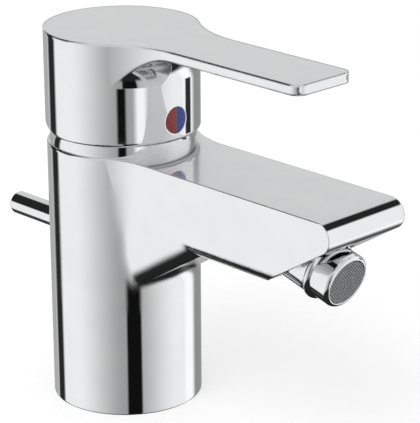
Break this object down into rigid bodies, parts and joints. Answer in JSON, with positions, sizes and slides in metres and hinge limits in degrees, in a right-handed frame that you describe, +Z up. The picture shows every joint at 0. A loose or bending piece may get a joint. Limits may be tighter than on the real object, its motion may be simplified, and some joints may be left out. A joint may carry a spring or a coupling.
{
  "type": "bidet mixer",
  "caption": "Single-lever deck bidet mixer: round column, flat slab spout, swivelling outlet nozzle, flat lever over a disc cartridge and a rear pop-up waste rocker.",
  "frame": {"origin": "centre of the column's base, on the deck", "axes": "+X along the spout, +Z up, +Y to the right of a user who faces the mixer"},
  "size_m": [0.1491, 0.0464, 0.1155],
  "materials": {
    "chrome": "polished plating",
    "brass": "machined",
    "steel": "drawn stainless",
    "black_steel": "black oxide",
    "rubber": "moulded",
    "ceramic": "lapped alumina",
    "white_plastic": "moulded",
    "grey_plastic": "moulded",
    "hot_red": "smooth",
    "cold_blue": "smooth"
  },
  "bodies": {
    "body": {"body_casting": "chrome", "deck_gasket": "rubber", "inlet_seals": "rubber", "cartridge_base": "white_plastic", "ceramic_disc_fixed": "ceramic", "cartridge_housing": "grey_plastic", "housing_seal": "rubber", "cartridge_nut": "brass", "shroud_seal": "rubber", "shroud_ring": "chrome", "collar_washer": "rubber", "nozzle_collar": "chrome", "popup_bush": "brass", "popup_pivot_pin": "steel"},
    "rotor": {"mixing_carrier": "white_plastic", "stem_pin": "steel"},
    "disc": {"ceramic_disc_moving": "ceramic", "disc_driver": "grey_plastic"},
    "lever": {"cartridge_stem": "brass", "lever_handle": "chrome", "handle_set_screw": "black_steel", "screw_cover": "grey_plastic", "marker_hot": "hot_red", "marker_cold": "cold_blue"},
    "nozzle_seat": {"ball_seat": "white_plastic"},
    "nozzle": {"nozzle_sleeve": "chrome", "aerator_washer": "rubber", "aerator_insert": "white_plastic", "aerator_screen": "steel"},
    "rocker": {"popup_rocker": "chrome"},
    "link": {"lift_link": "steel"}
  },
  "joints": [
    {"name": "lever_swivel", "type": "hinge", "parent": "body", "child": "rotor", "pos_m": [0, 0, 0.074], "axis": [0, 0, 1], "range_deg": [-45, 45]},
    {"name": "lever_tilt", "type": "hinge", "parent": "rotor", "child": "lever", "pos_m": [0, 0, 0.074], "axis": [0, -1, 0], "range_deg": [0, 20]},
    {"name": "disc_slide", "type": "slide", "parent": "rotor", "child": "disc", "axis": [1, 0, 0], "range_m": [0, 0.0028]},
    {"name": "nozzle_pan", "type": "hinge", "parent": "body", "child": "nozzle_seat", "pos_m": [0.0812, 0, 0.0619], "axis": [0.2588, 0, 0.9659], "range_deg": [-6, 6]},
    {"name": "nozzle_tilt", "type": "hinge", "parent": "nozzle_seat", "child": "nozzle", "pos_m": [0.0812, 0, 0.0619], "axis": [0, 1, 0], "range_deg": [-6, 6]},
    {"name": "popup_rock", "type": "hinge", "parent": "body", "child": "rocker", "pos_m": [-0.01774, 0, 0.0476], "axis": [0, 1, 0], "range_deg": [-8, 8]},
    {"name": "link_lift", "type": "slide", "parent": "body", "child": "link", "axis": [0, 0, 1], "range_m": [-0.0021, 0.0021]}
  ],
  "couplings": [
    {"joint": "disc_slide", "follows": "lever_tilt", "m_per_rad": 0.00785},
    {"joint": "link_lift", "follows": "popup_rock", "m_per_rad": -0.014736}
  ]
}
